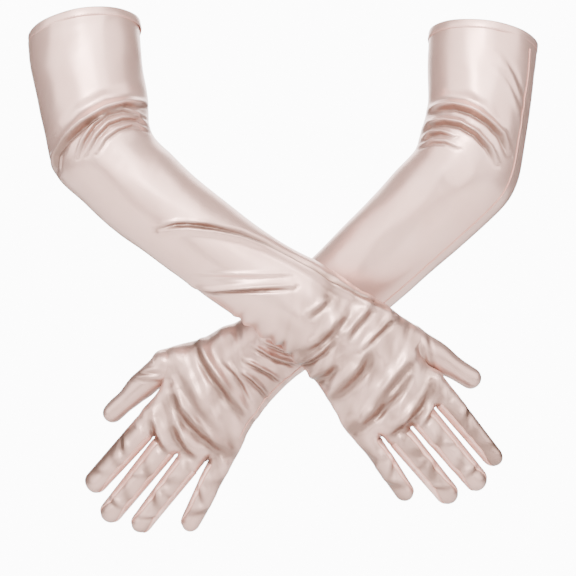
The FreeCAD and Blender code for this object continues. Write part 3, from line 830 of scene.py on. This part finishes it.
FOREARM_CUT = 70.0
ELBOW_REACH = (45.0, 60.0)
WRIST_REACH = (30.0, 26.0)
HEM_LINE = 5
FINGER_SPARE = 1.6
THUMB_ROOT = 14
THUMB_WAVE_HEIGHT = 0.3
THUMB_LATTICE_MARGIN, THUMB_LATTICE_SHARE = 18, 0.8
THUMB_FOLD_SHARE = 0.6

# Each is a share of the thumb's length and a slant.
THUMB_FOLDS = ((0.08, 1.2), (0.24, 0.9))


def on_middle(glove, s):
    """The point in the middle of the tube at station s."""
    return np.array([glove.read(glove.middle[:, 0], s), glove.read(glove.y, s),
                     glove.read(glove.middle[:, 1], s)])


def arm_opening(glove):
    """(centre in mm, axis up the arm) of the glove's open end."""
    name = f"{glove.side}_arm_opening"
    mount = next(m for m in frame["record"]["mounts"] if m["name"] == name)
    return np.array(mount["pos_m"]) / MM, np.array(mount["axis"])


def bend_sleeve(piece, glove):
    """Bakes a piece's place into its points; the ends of a blend across the elbow are found but not
    used.
    """
    elbow = glove.marks["elbow"]
    start = on_middle(glove, elbow - ELBOW_REACH[0])
    end = on_middle(glove, elbow + ELBOW_REACH[1])
    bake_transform(piece)


def bend_hand(piece, glove):
    """Bakes a piece's place into its points; the ends of a blend across the wrist are found but not
    used.
    """
    wrist = glove.marks["wrist"]
    start = on_middle(glove, wrist - WRIST_REACH[0])
    end = on_middle(glove, wrist + WRIST_REACH[1])
    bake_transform(piece)


def finger_cut(glove, name):
    """Where a finger's piece starts, measured from its base."""
    base = glove.digits[name][0]
    run = (base - glove.knuckles)[[0, 2]] @ glove.along
    return glove.form["crotches"][name] - run


def bend_finger(piece):
    """Bakes a piece's place into its points."""
    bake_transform(piece)


def cloth(piece, *nodes):
    """Satin piece that stands for these nodes."""
    piece.data.materials.append(SATIN)
    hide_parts(*nodes)


def build_cloth(glove):
    """Parts the skin by each face's middle: at the hem, in the forearm and past each crotch."""
    side = glove.side
    skin = glove_skin(glove)
    points, quads = skin[:2]
    middles = points[quads].mean(axis=1)
    centre, axis = arm_opening(glove)
    below = (middles - centre) @ axis < -HEM_LINE
    label = np.where(below, 0, -1)
    s, _, _ = glove.place(middles[:, 0], middles[:, 2])
    label[below & (s > glove.marks["wrist"] - FOREARM_CUT)] = 1
    for number, (name, digit) in enumerate(glove.digits.items()):
        base, along, across, _, half_width = digit
        gap = middles[:, [0, 2]] - base[[0, 2]]
        run, beside = gap @ along, gap @ across
        hand_run = (middles[:, [0, 2]] - glove.knuckles[[0, 2]]) @ glove.along
        past = hand_run > glove.form["crotches"][name]
        label[past & (run > 0) & (np.abs(beside) < half_width + FINGER_SPARE)] = number + 2
    sleeve = part_mesh(f"{side}_sleeve_cloth", skin, label == 0)
    cloth(sleeve, *[f"{side}_{node}" for node in (
        "upper_sleeve_front", "upper_sleeve_back", "elbow_web", "forearm_front", "forearm_back")])
    bend_sleeve(sleeve, glove)
    hand = part_mesh(f"{side}_hand_cloth", skin, label == 1)
    cloth(hand, f"{side}_hand_back", f"{side}_hand_palm", f"{side}_wrist_web")
    bend_hand(hand, glove)
    for number, name in enumerate(glove.digits):
        finger = part_mesh(f"{side}_{name}_cloth", skin, label == number + 2)
        cloth(finger, f"{side}_{name}_back", f"{side}_{name}_palm")
        bend_finger(finger)


def build_thumb(glove):
    """The free thumb, folded near its root, with painted shade all over, in its folds and at its sides
    as on the fingers.
    """
    side = glove.side
    _, knuckle, tip = glove.thumb_points()
    low = np.minimum(knuckle, tip) - THUMB_LATTICE_MARGIN
    high = np.maximum(knuckle, tip) + THUMB_LATTICE_MARGIN
    step = STEP * THUMB_LATTICE_SHARE
    points, quads = lattice_surface(glove.thumb_distance, low, high, step)
    points = relax(points, quads, 3)
    normals = point_normals(points, quads)
    run = (tip - knuckle) / np.linalg.norm(tip - knuckle)
    station = (points - knuckle) @ run
    beside = (points - knuckle) @ np.cross(run, (0, 1, 0))
    past_root = smooth_step(0, THUMB_ROOT, station)
    facing = THUMB_FOLD_SHARE * past_root * smooth_step(0.05, 0.85, np.abs(normals[:, 1]))
    height = THUMB_WAVE_HEIGHT * past_root * waves(points, (34, 30, 34), 9)
    # Painted shade: even over the thumb, more past its root and toward its sides, and in its folds.
    painted_shade = HAND_PAINTED_SHADE + past_root * finger_shade(normals)
    for share, slant in THUMB_FOLDS:
        across = share * np.linalg.norm(tip - knuckle) - station - slant * beside
        height += FINGER_FOLD_HEIGHT * facing * fold_profile(across / FINGER_FOLD_WIDTH)
        painted_shade += FINGER_FOLD_SHADE * facing * shade_profile(across / FINGER_FOLD_WIDTH)
    points = points + normals * height[:, None]
    normals = point_normals(points, quads)
    piece = make_mesh(f"{side}_thumb_cloth", points, quads, normals, np.clip(painted_shade, 0, 1))
    cloth(piece, f"{side}_thumb_back", f"{side}_thumb_palm")
    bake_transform(piece)


for glove in GLOVES.values():
    build_cloth(glove)
    build_thumb(glove)

# --- Lining ---------------------------------------------------------------------------
# The satin's dull inside, seen down the open cuff: a tube 1 mm within the cloth from the
# hem to the wrist, creased by the same folds.

CLOTH_INSET = 1.1
LINING_ABOVE_CUFF, LINING_SHORT_OF_WRIST = 14, 20
LINING_BELOW_HEM = 1.5
LINING_ROWS = 200
LINING_TURNS = 160


def grid_quads(rows, columns, closed):
    """Quads of a grid of points numbered row by row, its columns joined round if closed."""
    row = np.arange(rows - 1)[:, None]
    column = np.arange(columns if closed else columns - 1)[None, :]
    after = (column + 1) % columns
    corners = (row * columns + column, row * columns + after,
               (row + 1) * columns + after, (row + 1) * columns + column)
    return np.stack([np.broadcast_to(c, (rows - 1, column.size)).ravel() for c in corners], 1)


def skin_points(glove, s, angle, inset=0.0):
    """tube_point moved along its normal by the folds and inward by inset."""
    point = glove.tube_point(s, angle)
    turned = glove.tube_point(s, angle + 0.01) - point
    further = glove.tube_point(s + 0.5, angle) - point
    normal = np.cross(further, turned)
    normal /= np.linalg.norm(normal, axis=-1, keepdims=True)
    outward = point - on_middle(glove, s).T
    normal *= np.sign(np.sum(normal * outward, axis=-1, keepdims=True))
    return point + normal * (push(glove, point, normal)[0] - inset)[:, None]


def build_lining(glove):
    """A grid of rows down the tube and turns round it, inset and cut level with the opening."""
    centre, axis = arm_opening(glove)
    top = glove.marks["cuff"] - LINING_ABOVE_CUFF
    rows = np.linspace(top, glove.marks["wrist"] - LINING_SHORT_OF_WRIST, LINING_ROWS)
    angles = np.arange(LINING_TURNS) * 2 * np.pi / LINING_TURNS
    s, angle = [a.ravel() for a in np.meshgrid(rows, angles, indexing="ij")]
    points = skin_points(glove, s, angle, CLOTH_INSET)
    above = np.maximum((points - centre) @ axis + LINING_BELOW_HEM, 0)
    points -= above[:, None] * axis
    quads = grid_quads(LINING_ROWS, LINING_TURNS, True)
    corner, turned, _, further = points[quads[0]]
    if np.cross(turned - corner, further - corner) @ (on_middle(glove, s[0]) - corner) < 0:
        quads = quads[:, ::-1]
    piece = make_mesh(f"{glove.side}_lining", points, quads)
    piece.data.materials.append(LINING)
    bend_sleeve(piece, glove)


for glove in GLOVES.values():
    build_lining(glove)

# --- Hem ------------------------------------------------------------------------------
# The cuff's edge is turned in and stitched flat: a soft band round the opening with a row
# of fine stitches near its lower edge.

HEM_HEIGHT = 8.0
HEM_SIDES = (0.45, 1.1)
HEM_TURNS, HEM_ROUND = 240, 16
HEM_SQUARENESS = 0.4
STITCH_DROP = 6.7
STITCH_LENGTH = 2.0
STITCH_COUNT = 104
STITCH_RADIUS = 0.24
STITCH_SUNK = 0.05


def hem_frame(glove):
    """(centre, axis up, way across, way forward, half width, half depth) of the opening."""
    centre, axis = arm_opening(glove)
    across = np.array([axis[2], 0, -axis[0]])
    across /= np.linalg.norm(across)
    forward = np.cross(across, axis)
    cuff = glove.marks["cuff"]
    width, depth = glove.read(glove.half_width, cuff), HALF_DEPTHS[0]
    return centre, axis, across, forward, width, depth


def hem_point(hem, angle, out, drop):
    """centre + (width + out) cos across + (depth + out) sin forward - drop axis, where out
    has a slight ripple added."""
    centre, axis, across, forward, width, depth = hem
    ripple = 0.25 * np.sin(5 * angle + 1) + 0.15 * np.sin(9 * angle)
    sideways = ((width + out + ripple) * np.cos(angle))[..., None] * across
    onward = ((depth + out + ripple) * np.sin(angle))[..., None] * forward
    return centre + sideways + onward - np.asarray(drop)[..., None] * axis


def build_hem(glove):
    """A rounded oblong carried round the opening, and stitches spaced evenly along it."""
    hem = hem_frame(glove)
    turn = np.arange(HEM_ROUND) * 2 * np.pi / HEM_ROUND
    out = (HEM_SIDES[0] - HEM_SIDES[1]) / 2 + sum(HEM_SIDES) / 2 * np.cos(turn)
    square = np.sign(np.sin(turn)) * np.abs(np.sin(turn)) ** HEM_SQUARENESS
    drop = HEM_HEIGHT / 2 * (1 + square)
    angles = np.arange(HEM_TURNS) * 2 * np.pi / HEM_TURNS
    angle, place = np.meshgrid(angles, np.arange(HEM_ROUND), indexing="ij")
    points = hem_point(hem, angle, out[place], drop[place]).reshape(-1, 3)
    a, i = np.arange(HEM_TURNS)[:, None], np.arange(HEM_ROUND)
    b, j = (a + 1) % HEM_TURNS, (i + 1) % HEM_ROUND
    corners = [row * HEM_ROUND + column for row, column in ((a, i), (b, i), (b, j), (a, j))]
    quads = np.stack(corners, axis=-1).reshape(-1, 4)
    band = make_mesh(f"{glove.side}_hem_band", points, quads)
    cloth(band, f"{glove.side}_hem")
    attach(band, f"{glove.side}_sleeve")
    angles = np.arange(STITCH_COUNT) * 2 * np.pi / STITCH_COUNT
    half = STITCH_LENGTH / 2 / (hem[4] + 1)
    ends = [hem_point(hem, angles + shift, HEM_SIDES[0] - STITCH_SUNK, STITCH_DROP + 0 * angles)
            for shift in (-half, half)]
    stitches = stitch_mesh(f"{glove.side}_hem_stitches", ends[0], ends[1], STITCH_RADIUS)
    stitches.data.materials.append(THREAD)
    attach(stitches, f"{glove.side}_sleeve")


def stitch_mesh(name, starts, ends, radius):
    """A row of short round threads, each a six-sided spindle from its start to its end."""
    way = ends - starts
    way /= np.linalg.norm(way, axis=1, keepdims=True)
    up = np.cross(way, (0.31, 0.87, 0.38))
    up /= np.linalg.norm(up, axis=1, keepdims=True)
    side = np.cross(way, up)
    shares = np.array([0, 0.15, 0.5, 0.85, 1])
    sizes = np.array([0.35, 0.85, 1, 0.85, 0.35]) * radius
    turn = (np.arange(6) * np.pi / 3)[:, None]
    ring = np.cos(turn) * up[:, None, None, :] + np.sin(turn) * side[:, None, None, :]
    line = starts[:, None] + shares[:, None] * (ends - starts)[:, None]
    points = line[:, :, None] + sizes[None, :, None, None] * ring
    single = grid_quads(5, 6, True)
    quads = (np.arange(len(starts))[:, None, None] * 30 + single).reshape(-1, 4)
    caps = np.array([(0, 3, 2, 1), (0, 5, 4, 3), (24, 25, 26, 27), (24, 27, 28, 29)])
    ends_of = (np.arange(len(starts))[:, None, None] * 30 + caps).reshape(-1, 4)
    return make_mesh(name, points.reshape(-1, 3), np.concatenate([quads, ends_of]))


for glove in GLOVES.values():
    build_hem(glove)

# --- Seams ----------------------------------------------------------------------------
# A stitched seam closes each glove from the hem down the outer side of the arm and hand:
# a fine raised thread that follows the folds.

SEAM_ANGLES = {"left": (np.pi - 0.62, np.pi - 0.50), "right": (np.pi + 0.35, np.pi + 0.35)}
SEAM_RADIUS = 0.5
SEAM_STEP = 1.5
SEAM_RAISE = 0.2
SEAM_BELOW_CUFF, SEAM_SHORT_OF_KNUCKLES, SEAM_SWING = 9, 22, 20


def thread_mesh(name, path, radius, sides=8):
    """A round thread along a path of points, its ends closed on their last points."""
    way = np.gradient(path, axis=0)
    way /= np.linalg.norm(way, axis=1, keepdims=True)
    up = np.cross(way, (0.13, 0.95, 0.29))
    up /= np.linalg.norm(up, axis=1, keepdims=True)
    side = np.cross(way, up)
    turn = np.arange(sides) * 2 * np.pi / sides
    ring = np.cos(turn)[:, None] * up[:, None] + np.sin(turn)[:, None] * side[:, None]
    sizes = np.full(len(path), radius)
    sizes[[0, -1]] = radius * 0.1
    points = (path[:, None] + sizes[:, None, None] * ring).reshape(-1, 3)
    last = (len(path) - 1) * sides
    caps = [(0, i + 2, i + 1, i) for i in range(1, sides - 1, 2)]
    caps += [(last, last + i, last + i + 1, last + i + 2) for i in range(1, sides - 1, 2)]
    return make_mesh(name, points, np.concatenate([grid_quads(len(path), sides, True), caps]))


def build_seams(glove):
    """The seam's thread on the folded skin, in one length down the sleeve and one down the hand."""
    side = glove.side
    wrist = glove.marks["wrist"]
    cut = wrist - FOREARM_CUT
    high, low = SEAM_ANGLES[side]
    s = np.arange(glove.marks["cuff"] + SEAM_BELOW_CUFF, cut, SEAM_STEP)
    path = skin_points(glove, s, high + 0 * s, -SEAM_RAISE)
    upper = thread_mesh(f"{side}_sleeve_seam_thread", path, SEAM_RADIUS)
    upper.data.materials.append(THREAD)
    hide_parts(f"{side}_upper_sleeve_seam", f"{side}_forearm_seam")
    bend_sleeve(upper, glove)
    s = np.arange(cut, glove.marks["knuckles"] - SEAM_SHORT_OF_KNUCKLES, SEAM_STEP)
    angle = high + (low - high) * smooth_step(cut, wrist + SEAM_SWING, s)
    path = skin_points(glove, s, angle, -SEAM_RAISE)
    lower = thread_mesh(f"{side}_hand_seam_thread", path, SEAM_RADIUS)
    lower.data.materials.append(THREAD)
    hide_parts(f"{side}_hand_seam")
    bend_hand(lower, glove)


for glove in GLOVES.values():
    build_seams(glove)

# --- Side strips of the fingers -------------------------------------------------------
# Fourchettes, the narrow strips of satin sewn in between neighbouring fingers, with a
# raised thread seam along both edges.

STRIP_SIDES = {"index": (-1,), "middle": (-1, 1), "ring": (-1, 1), "little": (1,)}
STRIP_HALF_ANGLE = 0.62
STRIP_TURN = 0.32
STRIP_RAISE = 0.4
STRIP_POINT = 22
STRIP_ROWS, STRIP_COLUMNS = 60, 14
STRIP_SEAM_RADIUS = 0.45


def digit_point(glove, name, run, angle, out):
    """A point on a finger's ellipse at run past its base, angle 0 toward the thumb and pi/2
    back, moved out by out and by the folds."""
    base, along, across, length, half_width = glove.digits[name]
    share = run / length
    radius = half_width * (FINGER_WIDEST - FINGER_TAPER * np.clip(share, 0, 1))
    tip = length - FINGER_TIP * half_width
    radius = np.sqrt(np.maximum(radius**2 - np.maximum(run - tip, 0) ** 2, 0.01))
    flat = np.cos(angle) * (radius + out)
    back = FINGER_FLATNESS * np.sin(angle) * (radius + out) + FINGER_CURL * share**2
    x = base[0] + run * along[0] + flat * across[0]
    z = base[2] + run * along[1] + flat * across[1]
    point = np.stack([x, base[1] + back, z], axis=-1)
    normal = np.stack([np.cos(angle) * across[0], np.sin(angle), np.cos(angle) * across[1]], -1)
    flat_points, flat_normals = point.reshape(-1, 3), normal.reshape(-1, 3)
    pushed = push(glove, flat_points, flat_normals)[0].reshape(point.shape[:-1])
    return point + normal * pushed[..., None]


def build_strips(glove, name):
    """Strips that narrow to a point at the fingertip, with a thread along both edges."""
    side = glove.side
    length, half_width = glove.digits[name][3:]
    cut = finger_cut(glove, name)
    runs = np.linspace(cut + 1, length - 0.3 * half_width, STRIP_ROWS)
    spread = STRIP_HALF_ANGLE * (1 - smooth_step(length - STRIP_POINT, length, runs))
    sheets, threads = [], []
    for way in STRIP_SIDES[name]:
        middle = -STRIP_TURN if way > 0 else np.pi + STRIP_TURN
        shares = np.linspace(-1, 1, STRIP_COLUMNS)
        angle = middle + spread[:, None] * shares
        raised = STRIP_RAISE * (1 - shares**8)
        sheets.append(digit_point(glove, name, runs[:, None] + 0 * shares, angle, raised[None, :]))
        for edge in (-1, 1):
            threads.append(digit_point(glove, name, runs, middle + edge * spread, 0.05))
    rows = np.concatenate([sheet.reshape(-1, 3) for sheet in sheets])
    single = grid_quads(STRIP_ROWS, STRIP_COLUMNS, False)
    quads = np.concatenate([single + i * STRIP_ROWS * STRIP_COLUMNS for i in range(len(sheets))])
    if side == "right":
        quads = quads[:, ::-1]
    strip = make_mesh(f"{side}_{name}_side_strips", rows, quads)
    cloth(strip, f"{side}_{name}_fourchettes")
    bend_finger(strip)
    for number, path in enumerate(threads):
        seam = thread_mesh(f"{side}_{name}_strip_seam_{number + 1}", path, STRIP_SEAM_RADIUS, 6)
        seam.data.materials.append(THREAD)
        bend_finger(seam)


for glove in GLOVES.values():
    for name in glove.digits:
        build_strips(glove, name)

# --- Studio ---------------------------------------------------------------------------
# The gloves are seen straight from the front against white, under large soft lights.


WORLD_LIGHT = 0.07
WORLD_SEEN = 12.0
LIGHT_TARGET = (-0.17, 0, -0.22)

# Each is a place, a width across and a power.
LIGHTS = {
    "key": ((-0.2, -1.2, 1.2), 2.0, 76),
    "small": ((-0.45, -1.5, 0.75), 0.5, 20),
    "front": ((-0.15, -2.9, 0.35), 2.2, 68),
    "left": ((-2.0, -1.3, 0.5), 2.2, 60),
    "right": ((1.7, -1.3, 0.5), 2.2, 60),
    "back": ((-0.2, 2.2, 1.1), 2.4, 110),
}
FLOOR_HEIGHT = -0.62
FLOOR_CORNERS = ((-1.4, -1.2), (1.1, -1.2), (1.1, 0.9), (-1.4, 0.9))
FLOOR_GREY = (0.9, 0.9, 0.9, 1)
CAMERA_PLACE = (-0.1722, -2.03, -0.2199)
CAMERA_LENS = 143.7


def area_light(name, place, size, power):
    """A square area light at place, turned to LIGHT_TARGET."""
    data = bpy.data.lights.new(name, "AREA")
    data.size = size
    data.energy = power
    light = bpy.data.objects.new(name, data)
    bpy.context.scene.collection.objects.link(light)
    light.location = place
    way = Vector(LIGHT_TARGET) - Vector(place)
    light.rotation_mode = "QUATERNION"
    light.rotation_quaternion = way.to_track_quat("-Z", "Y")


for name, (place, size, power) in LIGHTS.items():
    area_light(name, place, size, power)

world = bpy.data.worlds.new("white")
world.use_nodes = True
background = world.node_tree.nodes["Background"]
background.inputs["Color"].default_value = (1, 1, 1, 1)
rays = world.node_tree.nodes.new("ShaderNodeLightPath")
strength = world.node_tree.nodes.new("ShaderNodeMapRange")
strength.inputs["To Min"].default_value = WORLD_LIGHT
strength.inputs["To Max"].default_value = WORLD_SEEN
world.node_tree.links.new(rays.outputs["Is Camera Ray"], strength.inputs["Value"])
world.node_tree.links.new(strength.outputs["Result"], background.inputs["Strength"])
bpy.context.scene.world = world

floor_mesh = bpy.data.meshes.new("floor")
corners = [(x, y, FLOOR_HEIGHT) for x, y in FLOOR_CORNERS]
floor_mesh.from_pydata(corners, [], [(0, 1, 2, 3)])
floor = bpy.data.objects.new("floor", floor_mesh)
bpy.context.scene.collection.objects.link(floor)
floor_paint = bpy.data.materials.new("floor_paint")
floor_paint.use_nodes = True
floor_shader = floor_paint.node_tree.nodes["Principled BSDF"]
floor_shader.inputs["Base Color"].default_value = FLOOR_GREY
floor_mesh.materials.append(floor_paint)

camera_data = bpy.data.cameras.new("camera")
camera_data.lens = CAMERA_LENS
camera = bpy.data.objects.new("camera", camera_data)
camera.location = CAMERA_PLACE
camera.rotation_euler = (np.pi / 2, 0, 0)
bpy.context.scene.collection.objects.link(camera)
bpy.context.scene.camera = camera
